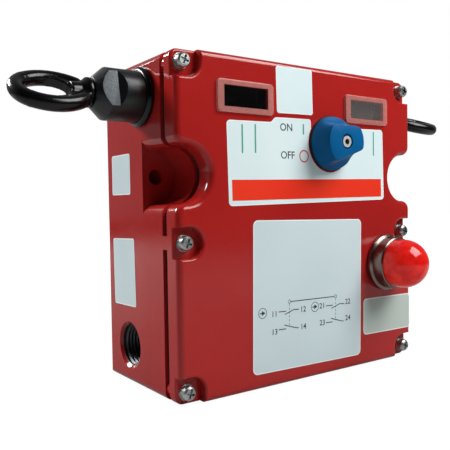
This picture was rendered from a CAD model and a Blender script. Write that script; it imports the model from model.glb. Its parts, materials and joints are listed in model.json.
import json
import math

import bmesh
import bpy
from mathutils import Matrix, Vector

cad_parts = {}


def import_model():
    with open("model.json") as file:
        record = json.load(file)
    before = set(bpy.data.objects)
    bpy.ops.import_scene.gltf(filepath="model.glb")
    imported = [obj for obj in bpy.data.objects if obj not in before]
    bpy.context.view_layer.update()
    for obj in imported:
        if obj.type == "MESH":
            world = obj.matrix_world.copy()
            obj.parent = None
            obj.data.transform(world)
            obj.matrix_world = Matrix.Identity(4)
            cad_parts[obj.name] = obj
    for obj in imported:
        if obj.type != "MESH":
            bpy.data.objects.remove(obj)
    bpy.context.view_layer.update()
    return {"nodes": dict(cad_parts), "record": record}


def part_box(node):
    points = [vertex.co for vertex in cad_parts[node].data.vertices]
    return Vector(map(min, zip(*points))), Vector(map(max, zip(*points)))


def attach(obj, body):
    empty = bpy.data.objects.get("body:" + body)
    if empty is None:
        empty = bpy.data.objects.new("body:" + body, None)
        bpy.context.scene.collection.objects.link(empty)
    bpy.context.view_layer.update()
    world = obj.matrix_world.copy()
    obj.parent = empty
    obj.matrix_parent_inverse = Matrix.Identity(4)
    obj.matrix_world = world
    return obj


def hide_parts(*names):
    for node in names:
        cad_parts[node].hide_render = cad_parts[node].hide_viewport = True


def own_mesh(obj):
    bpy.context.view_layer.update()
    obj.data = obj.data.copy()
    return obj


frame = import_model()

MM = 0.001
NODES = frame["nodes"]

# ---- Places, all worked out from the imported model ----


def centre_of(*nodes):
    """The middle of the box round some CAD nodes."""
    boxes = [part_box(node) for node in nodes]
    low = Vector([min(b[0][i] for b in boxes) for i in range(3)])
    high = Vector([max(b[1][i] for b in boxes) for i in range(3)])
    return (low + high) / 2


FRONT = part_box("cover")[0].y
BASE_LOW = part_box("base")[0]
KNOB = centre_of("knob_seat")
PILOT = centre_of("pilot_seal")
SHAFT = centre_of("left_flange_ring", "right_flange_ring")
WINDOW = centre_of("right_window_lens")

MOUNTS = {mount["name"]: mount for mount in frame["record"]["mounts"]}
CONDUIT = Vector(MOUNTS["conduit_entry"]["pos_m"])
CONDUIT_BORE = MOUNTS["conduit_entry"]["dims"]["r_mm"] * MM

# ---- Sizes that the frame doesn't state ----

MOULD_LINE = -39.4 * MM  # the depth where the housing's walls are widest
SIDE_LEAN = math.radians(0.5)  # the walls' draft from there
THREAD_DEPTH = 14 * MM
WINDOW_HALF = (12.2 * MM, 4.7 * MM)  # half the clear opening
FLATS_HALF = 8.5 * MM  # half the width over a bushing's two spanner flats
FLATS_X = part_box("right_bushing")[1].x - 9.6 * MM  # where the flats begin
FLATS_LEAN = math.radians(10.0)
FILM = 0.12 * MM
INK = 0.03 * MM
RIM = 0.5 * MM  # the clear edge round a label's print


# ---- Shader expressions ----


class Sock:
    """A shader value: a socket's output whose sums and products add Math nodes."""

    def __init__(self, shader, socket):
        self.shader = shader
        self.socket = socket

    def _math(self, operation, first, second):
        return self.shader.node("Math", {"operation": operation}, first, second)

    def __add__(self, other):
        return self._math("ADD", self, other)

    def __radd__(self, other):
        return self._math("ADD", other, self)

    def __sub__(self, other):
        return self._math("SUBTRACT", self, other)

    def __rsub__(self, other):
        return self._math("SUBTRACT", other, self)

    def __mul__(self, other):
        return self._math("MULTIPLY", self, other)

    def __rmul__(self, other):
        return self._math("MULTIPLY", other, self)

    def __truediv__(self, other):
        return self._math("DIVIDE", self, other)

    def __abs__(self):
        return self._math("ABSOLUTE", self, 0.0)

    def __lt__(self, other):
        return self._math("LESS_THAN", self, other)

    def __gt__(self, other):
        return self._math("GREATER_THAN", self, other)


class Finish:
    """A material being built: its node tree, a maker of nodes, and the shader at its end."""

    def __init__(self, name):
        self.material = bpy.data.materials.new(name)
        self.material.use_nodes = True
        self.tree = self.material.node_tree
        self.shader = self.tree.nodes["Principled BSDF"]
        self.place = self.node("TexCoord", output="Object")

    def node(self, kind, settings=None, *values, output=0, stops=None, **named):
        """Adds a node, sets it up and fills its sockets in order or by name; returns one output."""
        made = self.tree.nodes.new("ShaderNode" + kind)
        for key, value in (settings or {}).items():
            setattr(made, key, value)
        for k, (position, value) in enumerate(stops or []):
            ramp = made.color_ramp.elements
            stop = ramp[k] if k < len(ramp) else ramp.new(position)
            stop.position = position
            stop.color = (value, value, value, 1.0)
        for key, value in [*enumerate(values), *named.items()]:
            self.fill(made.inputs[key if isinstance(key, int) else key.replace("_", " ")], value)
        return Sock(self, made.outputs[output])

    def fill(self, socket, value):
        """Links a value to a socket, or sets it."""
        if isinstance(value, Sock):
            self.tree.links.new(value.socket, socket)
        elif isinstance(value, tuple) and socket.type == "RGBA":
            socket.default_value = (*value, 1.0)
        else:
            socket.default_value = value

    def noise(self, scale, detail=3.0, rough=0.5, place=None):
        """Soft noise from 0 to 1; scale is in waves per metre."""
        return self.node("TexNoise", None, Vector=place or self.place, Scale=scale, Detail=detail,
                         Roughness=rough)

    def ramp(self, value, stops):
        """Maps a value through straight steps of grey."""
        return self.node("ValToRGB", None, value, stops=stops)

    def mix(self, factor, first, second):
        """Blends two colours."""
        made = self.tree.nodes.new("ShaderNodeMix")
        made.data_type = "RGBA"
        self.fill(made.inputs["Factor"], factor)
        self.fill(made.inputs[6], first)
        self.fill(made.inputs[7], second)
        return Sock(self, made.outputs[2])

    def axes(self):
        """The X, Y and Z of the place on the object."""
        made = self.tree.nodes.new("ShaderNodeSeparateXYZ")
        self.tree.links.new(self.place.socket, made.inputs[0])
        return [Sock(self, output) for output in made.outputs]

    def from_axis(self, along, centre):
        """The distance from a line along X or Y through a centre."""
        keep = (0.0, 1.0, 1.0) if along == "X" else (1.0, 0.0, 1.0)
        flat = self.node("VectorMath", {"operation": "MULTIPLY"}, self.place, keep)
        centre = tuple(c * k for c, k in zip(centre, keep))
        return self.node("VectorMath", {"operation": "DISTANCE"}, flat, centre, output="Value")

    def bump(self, height, distance, strength=1.0):
        """Turns a height into a Normal."""
        return self.node("Bump", None, Height=height, Distance=distance, Strength=strength)

    def end(self, **sockets):
        """Sets the Principled shader's sockets and returns the material."""
        for name, value in sockets.items():
            self.fill(self.shader.inputs[name.replace("_", " ")], value)
        return self.material


def srgb(red, green, blue):
    """A colour written as 0-255 screen values, as linear light."""
    def linear(value):
        value /= 255
        return value / 12.92 if value <= 0.04045 else ((value + 0.055) / 1.055) ** 2.4
    return (linear(red), linear(green), linear(blue))


# ---- Finishes ----


def red_enamel():
    """Glossy epoxy on a casting: slight orange peel, nibs, duller patches, and a thread cut bare."""
    f = Finish("red_enamel")
    drift = f.noise(18.0, 2.0)
    peel = f.noise(620.0, 2.0, 0.45)
    haze = f.noise(55.0, 4.0, 0.6)
    nibs = f.ramp(f.noise(900.0, 1.0), [(0.72, 0.0), (0.80, 1.0)])
    x, _, _ = f.axes()
    bare = (f.from_axis("X", CONDUIT) < CONDUIT_BORE + 0.25 * MM) * (x < CONDUIT.x + THREAD_DEPTH)
    colour = f.mix(f.ramp(drift, [(0.3, 0.0), (0.7, 1.0)]), srgb(162, 31, 29), srgb(172, 36, 33))
    colour = f.mix(0.25 * nibs, colour, srgb(190, 90, 84))
    return f.end(
        Base_Color=f.mix(bare, colour, srgb(70, 68, 68)),
        Metallic=0.6 * bare,
        Roughness=0.11 + 0.06 * f.ramp(haze, [(0.4, 0.0), (0.75, 1.0)]) + 0.25 * bare,
        Coat_Weight=0.06,
        Coat_Roughness=0.05,
        Specular_IOR_Level=0.3,
        Normal=f.bump(peel + 0.8 * nibs, 0.00007, 0.5),
    )


def black_gloss():
    """Glossy black coat on steel with a fine grain."""
    f = Finish("black_gloss")
    fine = f.noise(1600.0, 4.0, 0.6)
    drift = f.noise(120.0, 3.0)
    return f.end(
        Base_Color=f.mix(drift, srgb(5, 5, 7), srgb(14, 14, 16)),
        Roughness=0.14 + 0.14 * fine,
        Specular_IOR_Level=0.32,
        Normal=f.bump(fine, 0.00002, 0.6),
    )


def bushing_black():
    """Satin black turned steel; its two spanner flats show a worn grey grain."""
    f = Finish("bushing_black")
    turned = f.node("Mapping", None, Vector=f.place, Scale=(10.0, 1.0, 1.0))
    lines = f.noise(900.0, 3.0, 0.6, turned)
    grain = f.noise(2600.0, 4.0, 0.7)
    x, y, z = f.axes()
    across = abs((y - SHAFT.y) * math.cos(FLATS_LEAN) - (z - SHAFT.z) * math.sin(FLATS_LEAN))
    flat = (abs(across - FLATS_HALF) < 0.05 * MM) * (abs(x) > FLATS_X)
    worn = flat * f.ramp(grain, [(0.35, 0.15), (0.65, 1.0)])
    return f.end(
        Base_Color=f.mix(worn, f.mix(lines, srgb(10, 13, 15), srgb(18, 24, 27)), srgb(104, 112, 116)),
        Metallic=0.5 * worn,
        Roughness=0.30 + 0.10 * lines + 0.12 * flat,
        Specular_IOR_Level=0.5,
        Normal=f.bump(lines + grain * flat, 0.00004, 0.5),
    )


def metal(name, colour, rough, along=None, wear=0.12):
    """Bare or plated metal; along names the axis that its fine turning lines run round."""
    f = Finish(name)
    place = f.place
    if along is not None:
        stretch = tuple(10.0 if axis == along else 1.0 for axis in "XYZ")
        place = f.node("Mapping", None, Vector=f.place, Scale=stretch)
    lines = f.noise(900.0, 3.0, 0.6, place)
    stain = f.noise(260.0, 4.0, 0.65)
    darker = tuple(c * 0.72 for c in srgb(*colour))
    return f.end(
        Base_Color=f.mix(f.ramp(stain, [(0.35, 0.0), (0.8, 1.0)]), srgb(*colour), darker),
        Metallic=1.0,
        Roughness=rough + wear * lines,
        Normal=f.bump(lines, 0.00002, 0.5),
    )


def rubber():
    """Matt black rubber."""
    f = Finish("rubber")
    grain = f.noise(2500.0, 3.0)
    return f.end(
        Base_Color=f.mix(grain, srgb(14, 14, 15), srgb(30, 30, 31)),
        Roughness=0.75 + 0.15 * grain,
        Normal=f.bump(grain, 0.00005, 0.5),
    )


def moulded(name, dark, light, rough, grain=1800.0, shine=0.35):
    """Moulded plastic with a fine spark texture."""
    f = Finish(name)
    spark = f.noise(grain, 3.0, 0.6)
    drift = f.noise(70.0, 3.0)
    return f.end(
        Base_Color=f.mix(drift, srgb(*dark), srgb(*light)),
        Roughness=rough + 0.15 * spark,
        Specular_IOR_Level=shine,
        Normal=f.bump(spark, 0.00004, 0.5),
    )


def printed(name, colour, tint):
    """Satin label film with a slow change of tint and a faint paper grain."""
    f = Finish(name)
    drift = f.noise(16.0, 2.0)
    grain = f.noise(3500.0, 2.0)
    return f.end(
        Base_Color=f.mix(f.ramp(drift, [(0.3, 0.0), (0.7, 1.0)]), srgb(*colour), srgb(*tint)),
        Roughness=0.30 + 0.10 * grain,
        Specular_IOR_Level=0.2,
        Normal=f.bump(grain, 0.00001, 0.4),
    )


def ink(name, colour):
    """Printed ink."""
    f = Finish(name)
    grain = f.noise(5000.0, 2.0)
    lighter = tuple(min(255, c + 14) for c in colour)
    return f.end(
        Base_Color=f.mix(grain, srgb(*colour), srgb(*lighter)),
        Roughness=0.45 + 0.1 * grain,
    )


def window_plastic(name, clear, tint):
    """Moulded lens: clear over the opening, frosted where it is bonded to the cover."""
    f = Finish(name)
    x, _, z = f.axes()
    haze = f.noise(900.0, 4.0, 0.6)
    outside = ((abs(abs(x) - WINDOW.x) > WINDOW_HALF[0]) + (abs(z - WINDOW.z) > WINDOW_HALF[1])) > 0.5
    return f.end(
        Base_Color=f.mix(outside, srgb(*tint), f.mix(haze, srgb(228, 144, 136), srgb(244, 168, 158))),
        Alpha=clear * (1 - outside) + outside * (0.40 + 0.14 * haze),
        Roughness=0.10 + 0.25 * outside * haze,
        Specular_IOR_Level=0.5,
        Coat_Weight=0.5,
        Coat_Roughness=0.05,
    )


def red_glass():
    """Deep red lens lit from inside: the glow is hottest at the front and dies towards the collar."""
    f = Finish("red_glass")
    glow_depth = 22 * MM
    swirl = f.noise(240.0, 3.0, 0.6)
    deep = f.ramp(swirl, [(0.3, 0.0), (0.75, 1.0)])
    _, y, _ = f.axes()
    core = f.ramp((PILOT.y - y) / glow_depth, [(0.15, 0.25), (0.7, 1.0)])
    return f.end(
        Base_Color=f.mix(deep, srgb(190, 10, 12), srgb(216, 26, 22)),
        Roughness=0.13 + 0.05 * swirl,
        Specular_IOR_Level=0.3,
        Transmission_Weight=0.08,
        IOR=1.49,
        Coat_Weight=0.12,
        Coat_Roughness=0.12,
        Emission_Color=f.mix(core, srgb(120, 6, 6), f.mix(deep, srgb(205, 18, 14), srgb(255, 60, 40))),
        Emission_Strength=0.24,
    )


def socket_steel():
    """Bright plated screw head, dark down its hexagon socket."""
    f = Finish("socket_steel")
    grain = f.noise(1800.0, 3.0, 0.6)
    head_r = 2.9 * MM
    inside = f.ramp(f.from_axis("Y", KNOB) / head_r, [(0.40, 1.0), (0.56, 0.0)])
    plate = f.mix(grain, srgb(188, 190, 188), srgb(222, 222, 218))
    return f.end(
        Base_Color=f.mix(inside, plate, srgb(52, 50, 48)),
        Metallic=0.35 + 0.4 * inside,
        Roughness=0.34 + 0.16 * grain,
        Normal=f.bump(grain, 0.00002, 0.5),
    )


def bulb_glass():
    """Frosted bulb."""
    f = Finish("bulb_glass")
    grain = f.noise(1500.0, 2.0)
    return f.end(
        Base_Color=f.mix(grain, srgb(235, 226, 205), srgb(250, 244, 230)),
        Roughness=0.3 + 0.2 * grain,
    )


FINISHES = {
    "red_paint": red_enamel(),
    "black_gloss": black_gloss(),
    "black_satin": bushing_black(),
    "black_plastic": moulded("black_plastic", (16, 17, 19), (26, 27, 30), 0.38),
    "black_rubber": rubber(),
    "zinc_steel": metal("zinc_steel", (186, 192, 190), 0.30),
    "bright_steel": metal("bright_steel", (205, 206, 208), 0.16, along="X"),
    "spring_steel": metal("spring_steel", (150, 152, 156), 0.28),
    "brass": metal("brass", (202, 164, 86), 0.24),
    "chrome": metal("chrome", (138, 122, 116), 0.2, wear=0.1),
    "flag_black": moulded("flag_black", (12, 12, 12), (20, 20, 20), 0.55),
    "grey_plastic": moulded("grey_plastic", (104, 108, 112), (118, 122, 126), 0.45),
    "blue_plastic": moulded("blue_plastic", (0, 84, 136), (2, 94, 150), 0.34, 1400.0, shine=0.08),
    "clear_lens": window_plastic("clear_lens", 0.72, (10, 9, 10)),
    "red_lens": red_glass(),
    "lamp_glass": bulb_glass(),
    "ground_green": moulded("ground_green", (22, 92, 44), (34, 110, 56), 0.35),
}
GREY_LENS = window_plastic("grey_lens", 0.42, (120, 114, 112))
LABEL_FILM = printed("label_film", (207, 223, 226), (198, 215, 218))
BRIGHT_FILM = printed("bright_film", (224, 240, 241), (214, 232, 234))
AGED_FILM = printed("aged_film", (190, 203, 195), (180, 193, 186))
LABEL_EDGE = printed("label_edge", (240, 248, 247), (230, 240, 239))
ORANGE_BAND = printed("orange_band", (232, 50, 28), (236, 58, 32))
BLACK_INK = ink("black_ink", (34, 40, 46))
GREEN_INK = ink("green_ink", (30, 150, 120))
RED_INK = ink("red_ink", (196, 70, 82))

for row in frame["record"]["subparts"]:
    mesh = NODES[row["node"]].data
    mesh.materials.clear()
    mesh.materials.append(FINISHES[row["material_slot"]])


# ---- Making pieces ----


def new_piece(name, bm, material, body="housing", smooth=35):
    """Turns a bmesh into a piece that rides on a body."""
    bmesh.ops.recalc_face_normals(bm, faces=bm.faces)
    mesh = bpy.data.meshes.new(name)
    bm.to_mesh(mesh)
    bm.free()
    for face in mesh.polygons:
        face.use_smooth = True
    mesh.set_sharp_from_angle(angle=math.radians(smooth))
    mesh.materials.append(material)
    piece = bpy.data.objects.new(name, mesh)
    bpy.context.scene.collection.objects.link(piece)
    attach(piece, body)
    return piece


def merged(node):
    """The welded shape of a CAD node, with its flat faces whole."""
    bm = bmesh.new()
    bm.from_mesh(NODES[node].data)
    bmesh.ops.remove_doubles(bm, verts=bm.verts, dist=0.002 * MM)
    bmesh.ops.dissolve_limit(bm, angle_limit=math.radians(0.5), verts=bm.verts, edges=bm.edges)
    return bm


def stand_in(node, name, body, slot, material=None, smooth=35):
    """A welded copy of a CAD node that is finished further and stands for it."""
    piece = new_piece(name, merged(node), material or FINISHES[slot], body, smooth)
    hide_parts(node)
    return piece


def settle(piece):
    """Fixes a piece's modifiers into its mesh."""
    solved = piece.evaluated_get(bpy.context.evaluated_depsgraph_get())
    mesh = bpy.data.meshes.new_from_object(solved)
    piece.modifiers.clear()
    piece.data = mesh
    return piece


def forge(piece, voxel, passes):
    """Rebuilds a piece's skin evenly and eases its inner corners, as a die forging has."""
    even = piece.modifiers.new("skin", "REMESH")
    even.mode = "VOXEL"
    even.voxel_size = voxel
    even.use_smooth_shade = True
    ease = piece.modifiers.new("ease", "SMOOTH")
    ease.factor = 0.6
    ease.iterations = passes
    return settle(piece)


def soften(piece, width, segments):
    """Rounds a piece's sharp edges."""
    bevel = piece.modifiers.new("soft_edges", "BEVEL")
    bevel.width = width
    bevel.segments = segments
    bevel.limit_method = "ANGLE"
    bevel.angle_limit = math.radians(30)
    bevel.harden_normals = True
    return piece


def outline_face(bm, corners):
    """A flat face in X-Z from (x, z, corner radius) in millimetres."""
    face = bm.faces.new([bm.verts.new((x * MM, 0, z * MM)) for x, z, _ in corners])
    for vert, (_, _, radius) in list(zip(face.verts, corners)):
        if radius:
            bmesh.ops.bevel(bm, geom=[vert], offset=radius * MM, offset_type="OFFSET",
                            affect="VERTICES", segments=6, profile=0.5, material=-1)
    return bm.faces[:][0]


def film_sheet(bm, corners, thickness, rim):
    """A sheet of film standing forward of the X-Z plane, with a clear rim round its print."""
    face = outline_face(bm, corners)
    made = bmesh.ops.extrude_face_region(bm, geom=[face])
    moved = [v for v in made["geom"] if isinstance(v, bmesh.types.BMVert)]
    bmesh.ops.translate(bm, verts=moved, vec=(0, -thickness, 0))
    if rim:
        front = [f for f in made["geom"] if isinstance(f, bmesh.types.BMFace)]
        for edge in bmesh.ops.inset_region(bm, faces=front, thickness=rim)["faces"]:
            edge.material_index = 1


def on_cover(bm, x, z, tilt, lift):
    """Puts a flat shape drawn about the origin onto the cover's face."""
    place = Matrix.Translation((x * MM, FRONT - lift * MM, z * MM)) @ Matrix.Rotation(-tilt, 4, "Y")
    bmesh.ops.transform(bm, matrix=place, verts=bm.verts)


def rectangle(width, height, radius):
    """The corners of a rounded rectangle about the origin."""
    w, h = width / 2, height / 2
    return [(w, h, radius), (-w, h, radius), (-w, -h, radius), (w, -h, radius)]


def film(name, width, height, radius, x, z, tilt=0.0, material=LABEL_FILM, lift=0.0,
         thickness=FILM, rim=RIM):
    """A rounded rectangle of label film on the cover; sizes in millimetres."""
    bm = bmesh.new()
    film_sheet(bm, rectangle(width, height, radius), thickness, rim)
    on_cover(bm, x, z, tilt, lift)
    piece = new_piece(name, bm, material)
    if rim:
        piece.data.materials.append(LABEL_EDGE)
    return piece


# ---- Labels; places and sizes in millimetres on the cover, tilts in radians ----

MAIN_LABEL = (1.7, 5.9, 0.021)
LOWER_LABEL = (-0.8, -56.4, -0.018)
KNOB_CUT_R = 14.2
PRINT_LIFT = 0.14
CONTACT_LINK_Z = -3.4
ARROW_Z = -7.4
# Each contact about its middle: its height, its arm's tail and tip, and its lead's end.
CONTACTS = ((-7.7, (-2.9, -1.5), (2.9, 0.3), (6.0, 0.1)),
            (-16.1, (-3.2, 1.9), (4.6, -0.3), (5.8, -0.3)))


def main_label():
    """The pale label round the knob: a tab at its upper left and a round cut for the knob's seat."""
    x, z, tilt = MAIN_LABEL
    cut = Matrix.Rotation(-tilt, 2) @ Vector((KNOB.x / MM - x, KNOB.z / MM - z))
    half, low, high, tab_top, tab_right = 50.9, -18.65, 18.3, 21.65, -0.8
    start = math.asin((high - cut.y) / KNOB_CUT_R)
    end = math.pi - math.acos((cut.x - tab_right) / KNOB_CUT_R)
    outline = [(-half, low, 2.0), (half, low, 2.0), (half, high, 2.0)]
    for k in range(41):
        a = start + (end - math.tau - start) * k / 40
        outline.append((cut.x + KNOB_CUT_R * math.cos(a), cut.y + KNOB_CUT_R * math.sin(a), 0))
    outline += [(tab_right, tab_top, 1.2), (-23.2, tab_top, 1.0), (-25.6, 19.3, 1.0),
                (-half, 19.3, 2.0)]
    bm = bmesh.new()
    film_sheet(bm, outline, FILM, RIM)
    on_cover(bm, x, z, tilt, 0.0)
    piece = new_piece("main_label", bm, BRIGHT_FILM)
    piece.data.materials.append(LABEL_EDGE)


def mark(name, width, height, x, z, tilt, material):
    """A thin printed bar on a label."""
    film(name, width, height, 0.1, x, z, tilt, material, lift=0.12, thickness=INK, rim=0)


def skin(bm, rings):
    """Four-sided faces between rings of vertices that run round in the same order."""
    for first, second in zip(rings, rings[1:]):
        for k in range(len(first)):
            bm.faces.new((first[k - 1], first[k], second[k], second[k - 1]))


def ring(bm, x, z, outer, inner, steps=32):
    """A flat printed ring in the X-Z plane; sizes in millimetres."""
    ways = [(math.cos(math.tau * k / steps), math.sin(math.tau * k / steps)) for k in range(steps)]
    skin(bm, [[bm.verts.new(((x + r * c) * MM, 0, (z + r * s) * MM)) for c, s in ways]
              for r in (outer, inner)])


def marks():
    """Plain marks on the main label: an orange band, green scale lines, I and O, and two words."""
    mark("orange_band", 97.9, 9.3, 1.9, -6.1, 0.0143, ORANGE_BAND)
    line = 0.8
    for k, (x, z, length) in enumerate([(-41.1, 16.2, 12.8), (-33.7, 16.6, 13.0), (45.1, 17.6, 12.5)]):
        mark(f"green_line_{k + 1}", line, length, x, z, 0.0, GREEN_INK)
    mark("mark_on", line, 5.0, -4.45, 22.4, 0.0, GREEN_INK)
    bm = bmesh.new()
    ring(bm, 0, 0, 3.05, 2.4)
    on_cover(bm, -4.2, 9.6, 0.0, PRINT_LIFT)
    new_piece("mark_off", bm, RED_INK)
    words("word_on", "ON", 5.0, -15.2, 22.6, 0.01)
    words("word_off", "OFF", 5.0, -14.5, 9.6, 0.01)


def words(name, text, size, x, z, tilt=0.0):
    """Plain generic lettering in sheet form on the cover, centred on x, z."""
    curve = bpy.data.curves.new(name, "FONT")
    curve.body = text
    curve.size = size * MM
    curve.align_x = "CENTER"
    curve.align_y = "CENTER"
    curve.resolution_u = 3
    curve.offset = 0.05 * MM
    source = bpy.data.objects.new(name + "_source", curve)
    bpy.context.scene.collection.objects.link(source)
    bpy.context.view_layer.update()
    mesh = bpy.data.meshes.new_from_object(source.evaluated_get(bpy.context.evaluated_depsgraph_get()))
    bm = bmesh.new()
    bm.from_mesh(mesh)
    bpy.data.objects.remove(source)
    bmesh.ops.rotate(bm, verts=bm.verts, matrix=Matrix.Rotation(math.pi / 2, 3, "X"))
    on_cover(bm, x, z, tilt, PRINT_LIFT)
    new_piece(name, bm, BLACK_INK)


def stroke(bm, x0, z0, x1, z1, width=0.45):
    """A thin straight ink stroke between two points, in millimetres."""
    along = Vector((x1 - x0, 0, z1 - z0))
    side = along.cross(Vector((0, 1, 0))).normalized() * width / 2
    ends = [Vector((x0, 0, z0)) - side, Vector((x1, 0, z1)) - side,
            Vector((x1, 0, z1)) + side, Vector((x0, 0, z0)) + side]
    bm.faces.new([bm.verts.new(p * MM) for p in ends])


def contact_diagram():
    """A break and a make contact for each pull, linked at the top, with plain terminal numbers."""
    bm = bmesh.new()
    x0, z0, tilt = LOWER_LABEL
    numbers = []
    for side, x in enumerate((-13.7, 17.0)):
        ring(bm, x, CONTACT_LINK_Z, 0.95, 0.65, 16)
        for k in range(6):
            stroke(bm, x, -4.5 - 1.8 * k, x, -5.5 - 1.8 * k, 0.3)
        for row, (z, tail, tip, lead) in enumerate(CONTACTS):
            stroke(bm, x - 6.7, z, x - 2.0, z)
            stroke(bm, x + tail[0], z + tail[1], x + tip[0], z + tip[1])
            stroke(bm, x + tip[0], z + tip[1], x + lead[0], z + lead[1])
            first = 10 * side + 2 * row + 11
            numbers += [(first, x - 9.4, z), (first + 1, x + 8.6, z)]
        pull = x + (-16.3, -14.2)[side]
        ring(bm, pull, ARROW_Z, 2.5, 2.2, 24)
        stroke(bm, pull - 1.7, ARROW_Z, pull, ARROW_Z, 0.5)
        head = [(pull + 1.6, ARROW_Z), (pull - 0.4, ARROW_Z + 1.2), (pull - 0.4, ARROW_Z - 1.2)]
        bm.faces.new([bm.verts.new((px * MM, 0, pz * MM)) for px, pz in head])
    stroke(bm, -12.8, CONTACT_LINK_Z, 16.1, CONTACT_LINK_Z)
    on_cover(bm, x0, z0, tilt, PRINT_LIFT)
    new_piece("contact_lines", bm, BLACK_INK)
    for number, x, z in numbers:
        words(f"terminal_{number}", str(number), 3.8, x0 + x, z0 + z - tilt * x, tilt)


def side_labels():
    """Two bare labels on the left side, which leans in towards the mounting face."""
    for name, y, z, width, height, tilt in (
        ("side_label_upper", -16.7, 2.1, 20.0, 19.4, 0.0),
        ("side_label_lower", -18.4, -44.9, 23.2, 32.5, 0.025),
    ):
        bm = bmesh.new()
        film_sheet(bm, rectangle(width, height, 1.2), FILM, RIM)
        bmesh.ops.rotate(bm, verts=bm.verts, matrix=Matrix.Rotation(-tilt, 3, "Y"))
        bmesh.ops.rotate(bm, verts=bm.verts, matrix=Matrix.Rotation(-math.pi / 2 - SIDE_LEAN, 3, "Z"))
        inward = (y * MM - MOULD_LINE) * math.tan(SIDE_LEAN)
        bmesh.ops.translate(bm, verts=bm.verts, vec=(BASE_LOW.x + inward, y * MM, z * MM))
        new_piece(name, bm, LABEL_FILM).data.materials.append(LABEL_EDGE)


def labels():
    """Every label on the cover and on the left side."""
    main_label()
    marks()
    film("upper_label", 22.6, 21.7, 1.2, -9.7, 40.2, 0.020, BRIGHT_FILM)
    film("lower_label", 70.8, 70.8, 2.6, *LOWER_LABEL)
    contact_diagram()
    film("indicator_label", 37.4, 19.0, 2.2, 55.2, -73.3, -0.011, AGED_FILM)
    side_labels()


labels()


# ---- Metal and moulded pieces that the frame carries plain ----


def pulls():
    """The forged eyes, and the bushings and flange rings with their edges broken."""
    for side in ("left", "right"):
        eye = stand_in(f"{side}_eye", f"{side}_forged_eye", f"{side}_swivel", "black_gloss")
        forge(eye, 0.4 * MM, 5)
        bushing = stand_in(f"{side}_bushing", f"{side}_turned_bushing", "housing", "black_satin")
        soften(bushing, 0.25 * MM, 2)
        collar = stand_in(f"{side}_flange_ring", f"{side}_collar", "housing", "black_gloss")
        soften(collar, 0.5 * MM, 3)


def springs():
    """The return springs: each shortens towards its bushing as its shaft is pulled."""
    for side, sign in (("left", -1), ("right", 1)):
        coil = stand_in(f"{side}_spring", f"{side}_coil", "housing", "spring_steel", smooth=60)
        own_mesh(coil)


def windows():
    """Moulded lenses with soft edges, and the pointer line on the right-hand flag."""
    for side, material in (("left", FINISHES["clear_lens"]), ("right", GREY_LENS)):
        soften(stand_in(f"{side}_window_lens", f"{side}_window", "housing", "clear_lens", material),
               0.6 * MM, 3)
    width, height = 0.9 * MM, 5.0 * MM
    centre = Vector((51.4 * MM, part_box("right_flag")[0].y - FILM / 2, 32.2 * MM))
    bm = bmesh.new()
    bmesh.ops.create_cube(bm, size=1.0, matrix=Matrix.Translation(centre)
                          @ Matrix.Diagonal((width, FILM, height, 1)))
    bmesh.ops.bevel(bm, geom=list(bm.edges), offset=0.04 * MM, segments=2, affect="EDGES",
                    profile=0.5, material=-1)
    new_piece("right_flag_pointer", bm, LABEL_EDGE, "right_pull")


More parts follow.
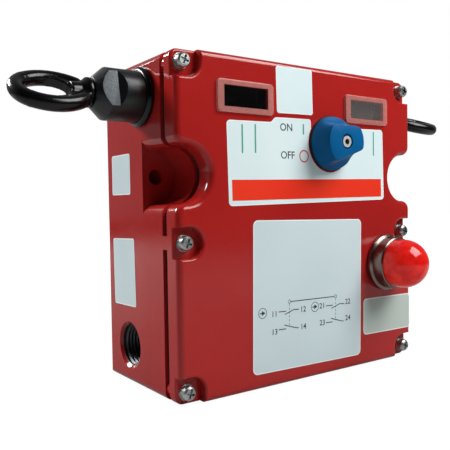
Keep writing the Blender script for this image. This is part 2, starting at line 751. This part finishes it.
def knob():
    """The reset knob: a round skirt drawn in to a grip with two hollowed flanks, and a screw hole."""
    low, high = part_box("knob")
    skirt_r = (high.x - low.x) / 2
    face_r, hole_r, collar_r = 11.8 * MM, 3.6 * MM, 12.3 * MM
    top_flank, bottom_flank = 8.0 * MM, 6.95 * MM  # from the axis to each flank at the face
    rim, foot = high.y - 0.7 * MM, high.y + 1.5 * MM
    bottom = Vector((0.322, -0.9465))  # the way the lower flank faces
    rounds, steps = 72, 12
    sharpness = 16  # how tightly the flanks turn into the round
    bm = bmesh.new()

    def loop(y, t, inset=0.0, round_r=None):
        """One ring of the skin at depth y; t runs from 0 at the skirt to 1 at the face."""
        hollow = 1 - math.sqrt(max(0.0, 1 - (1 - t) ** 2))
        verts = []
        for k in range(rounds):
            way = Vector((math.cos(math.tau * k / rounds), math.sin(math.tau * k / rounds)))
            limits = [(1.0, skirt_r + (face_r - skirt_r) * t),
                      (way.y, top_flank + (skirt_r - top_flank) * hollow),
                      (way.dot(bottom), bottom_flank + (skirt_r - bottom_flank) * hollow)]
            total = sum((max(0.0, share) / limit) ** sharpness for share, limit in limits)
            reach = total ** (-1 / sharpness)
            reach = round_r or min(reach, skirt_r) - inset
            verts.append(bm.verts.new((KNOB.x + way.x * reach, y, KNOB.z + way.y * reach)))
        return verts

    rings = [loop(high.y, 0, round_r=collar_r), loop(foot, 0, round_r=collar_r),
             loop(foot, 0, 0.2 * MM), loop(foot - 0.3 * MM, 0), loop(rim, 0)]
    rings += [loop(rim + (low.y + 0.6 * MM - rim) * k / steps, k / steps)
              for k in range(1, steps + 1)]
    rings += [loop(low.y + 0.18 * MM, 1, 0.18 * MM), loop(low.y, 1, 0.6 * MM)]
    rings += [loop(low.y, 1, round_r=hole_r + 0.2 * MM), loop(low.y + 0.2 * MM, 1, round_r=hole_r),
              loop(low.y + 3.0 * MM, 1, round_r=hole_r)]
    skin(bm, rings)
    for end in (rings[0], rings[-1]):
        bm.faces.new(end)
    piece = new_piece("reset_knob_cap", bm, FINISHES["blue_plastic"], "reset_knob",
                      40)
    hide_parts("knob")
    seat = stand_in("knob_seat", "knob_seal", "housing", "black_rubber")
    seal_r, neck_r = skirt_r + 0.1 * MM, collar_r - 0.3 * MM
    for vert in seat.data.vertices:
        off = vert.co.xz - KNOB.xz
        if vert.co.y < FRONT + 0.1 * MM and off.length > skirt_r:
            vert.co.xz = KNOB.xz + off.normalized() * seal_r
        if vert.co.y < foot - 0.5 * MM and off.length > neck_r:
            vert.co.xz = KNOB.xz + off.normalized() * neck_r
    NODES["knob_screw"].data.materials[0] = socket_steel()


def conduit_thread():
    """The pipe thread inside the conduit mouth, one ridge wound inwards."""
    pitch, turns, steps = 1.81 * MM, 6, 36
    x0 = BASE_LOW.x + 1.6 * MM
    half, root = 0.75 * MM, CONDUIT_BORE + 0.1 * MM
    ridge = [(0.0, root), (half, CONDUIT_BORE - half), (2 * half, root)]
    bm = bmesh.new()
    verts = [bm.verts.new((x0 + dx, CONDUIT.y, CONDUIT.z + out)) for dx, out in ridge]
    edges = [bm.edges.new((verts[k], verts[(k + 1) % 3])) for k in range(3)]
    bmesh.ops.spin(bm, geom=verts + edges, cent=(0, CONDUIT.y, CONDUIT.z), axis=(1, 0, 0),
                   dvec=(pitch / steps, 0, 0), angle=math.tau * turns, steps=steps * turns)
    bmesh.ops.holes_fill(bm, edges=[e for e in bm.edges if e.is_boundary], sides=3)
    new_piece("conduit_thread", bm, metal("thread_steel", (84, 86, 88), 0.42))


pulls()
springs()
windows()
knob()
conduit_thread()


# ---- Camera, lamps and floor ----


CAMERA_PLACE = (-0.20277, -0.28608, -0.01267)
CAMERA_ANGLES = (-35.08, 87.99, -0.91)  # degrees: turn, tip and roll
CAMERA_LENS = 48.24
MIDDLE = (0.0, -0.03, 0.0)
# Each lamp's place, width, height and power.
LAMPS = {
    "key": ((0.30, -0.48, 0.50), 0.5, 0.42, 7.0),
    "side": ((-0.62, 0.85, 0.68), 0.5, 0.3, 18.5),
    "low": ((0.6, -0.75, -0.35), 0.5, 0.4, 2.0),
}
# The room's strength as the switch sees it, in front of itself and behind.
DIFFUSE_ROOM = (0.05, 0.15)
MIRRORED_ROOM = (0.015, 0.28)
FLOOR_GREY = 0.45
FLOOR_GLOW = 1.16
FLOOR_HALF = 3.0


def camera():
    """A camera a little above the middle of the switch, to its left."""
    data = bpy.data.cameras.new("camera")
    data.lens = CAMERA_LENS
    data.sensor_width = 36.0
    seen = bpy.data.objects.new("camera", data)
    turn, tip, roll = (Matrix.Rotation(math.radians(angle), 4, axis)
                       for angle, axis in zip(CAMERA_ANGLES, "ZXZ"))
    seen.matrix_world = Matrix.Translation(CAMERA_PLACE) @ turn @ tip @ roll
    bpy.context.scene.collection.objects.link(seen)
    bpy.context.scene.camera = seen


def area_lamp(name, place, width, height, power):
    """A soft rectangular lamp aimed at the middle of the switch."""
    data = bpy.data.lights.new(name, "AREA")
    data.shape = "RECTANGLE"
    data.size = width
    data.size_y = height
    data.energy = power
    lamp = bpy.data.objects.new(name, data)
    lamp.location = place
    lamp.rotation_euler = (Vector(MIDDLE) - Vector(place)).to_track_quat("-Z", "Y").to_euler()
    bpy.context.scene.collection.objects.link(lamp)


def world():
    """A room that is white to the camera; to the switch it is pale behind and dim in front."""
    made = bpy.data.worlds.new("room")
    made.use_nodes = True
    tree = made.node_tree
    tree.nodes.clear()

    def node(kind, output, **values):
        one = tree.nodes.new("ShaderNode" + kind)
        for name, value in values.items():
            socket = one.inputs[int(name[1:]) if name[0] == "_" else name]
            if isinstance(value, bpy.types.NodeSocket):
                tree.links.new(value, socket)
            else:
                socket.default_value = value
        return one.outputs[output]

    path = tree.nodes.new("ShaderNodeLightPath").outputs
    way = node("SeparateXYZ", "Y", _0=node("TexCoord", "Generated"))
    levels = []
    for dim, pale in (DIFFUSE_ROOM, MIRRORED_ROOM):
        ramp = tree.nodes.new("ShaderNodeMapRange")
        for name, value in (("From Min", -0.25), ("From Max", 0.5), ("To Min", dim), ("To Max", pale)):
            ramp.inputs[name].default_value = value
        tree.links.new(way, ramp.inputs["Value"])
        levels.append(node("Background", 0, Color=(0.97, 0.98, 1.0, 1.0), Strength=ramp.outputs[0]))
    mirrors = tree.nodes.new("ShaderNodeMath")
    mirrors.operation = "MAXIMUM"
    tree.links.new(path["Is Glossy Ray"], mirrors.inputs[0])
    tree.links.new(path["Is Transmission Ray"], mirrors.inputs[1])
    lit = node("MixShader", 0, _0=mirrors.outputs[0], _1=levels[0], _2=levels[1])
    white = node("Background", 0, Color=(1.0, 1.0, 1.0, 1.0))
    whole = node("MixShader", 0, _0=path["Is Camera Ray"], _1=lit, _2=white)
    tree.links.new(whole, tree.nodes.new("ShaderNodeOutputWorld").inputs[0])
    bpy.context.scene.world = made


def floor():
    """A pale floor that keeps the switch's shadow."""
    bm = bmesh.new()
    bmesh.ops.create_grid(bm, x_segments=1, y_segments=1, size=FLOOR_HALF)
    bmesh.ops.translate(bm, verts=bm.verts, vec=(0, 0, BASE_LOW.z))
    mesh = bpy.data.meshes.new("floor")
    bm.to_mesh(mesh)
    bm.free()
    ground = bpy.data.objects.new("floor", mesh)
    bpy.context.scene.collection.objects.link(ground)
    f = Finish("floor")
    f.end(Base_Color=(FLOOR_GREY, FLOOR_GREY, FLOOR_GREY), Roughness=0.9, Specular_IOR_Level=0.1)
    path = f.tree.nodes.new("ShaderNodeLightPath")
    white = f.tree.nodes.new("ShaderNodeEmission")
    white.inputs["Strength"].default_value = FLOOR_GLOW
    away = f.node("VectorMath", {"operation": "LENGTH"}, f.place, output="Value")
    near = f.node("MapRange", None, away, From_Min=0.2, From_Max=0.7, To_Min=0.8, To_Max=1.0)
    share = f.tree.nodes.new("ShaderNodeMath")
    share.operation = "MULTIPLY"
    f.tree.links.new(near.socket, share.inputs[1])
    mix = f.tree.nodes.new("ShaderNodeMixShader")
    f.tree.links.new(path.outputs["Is Camera Ray"], share.inputs[0])
    f.tree.links.new(share.outputs[0], mix.inputs[0])
    f.tree.links.new(f.shader.outputs[0], mix.inputs[1])
    f.tree.links.new(white.outputs[0], mix.inputs[2])
    f.tree.links.new(mix.outputs[0], f.tree.nodes["Material Output"].inputs[0])
    mesh.materials.append(f.material)


camera()
world()
floor()
for name, setting in LAMPS.items():
    area_lamp(name, *setting)

bpy.context.scene.view_settings.view_transform = "Standard"
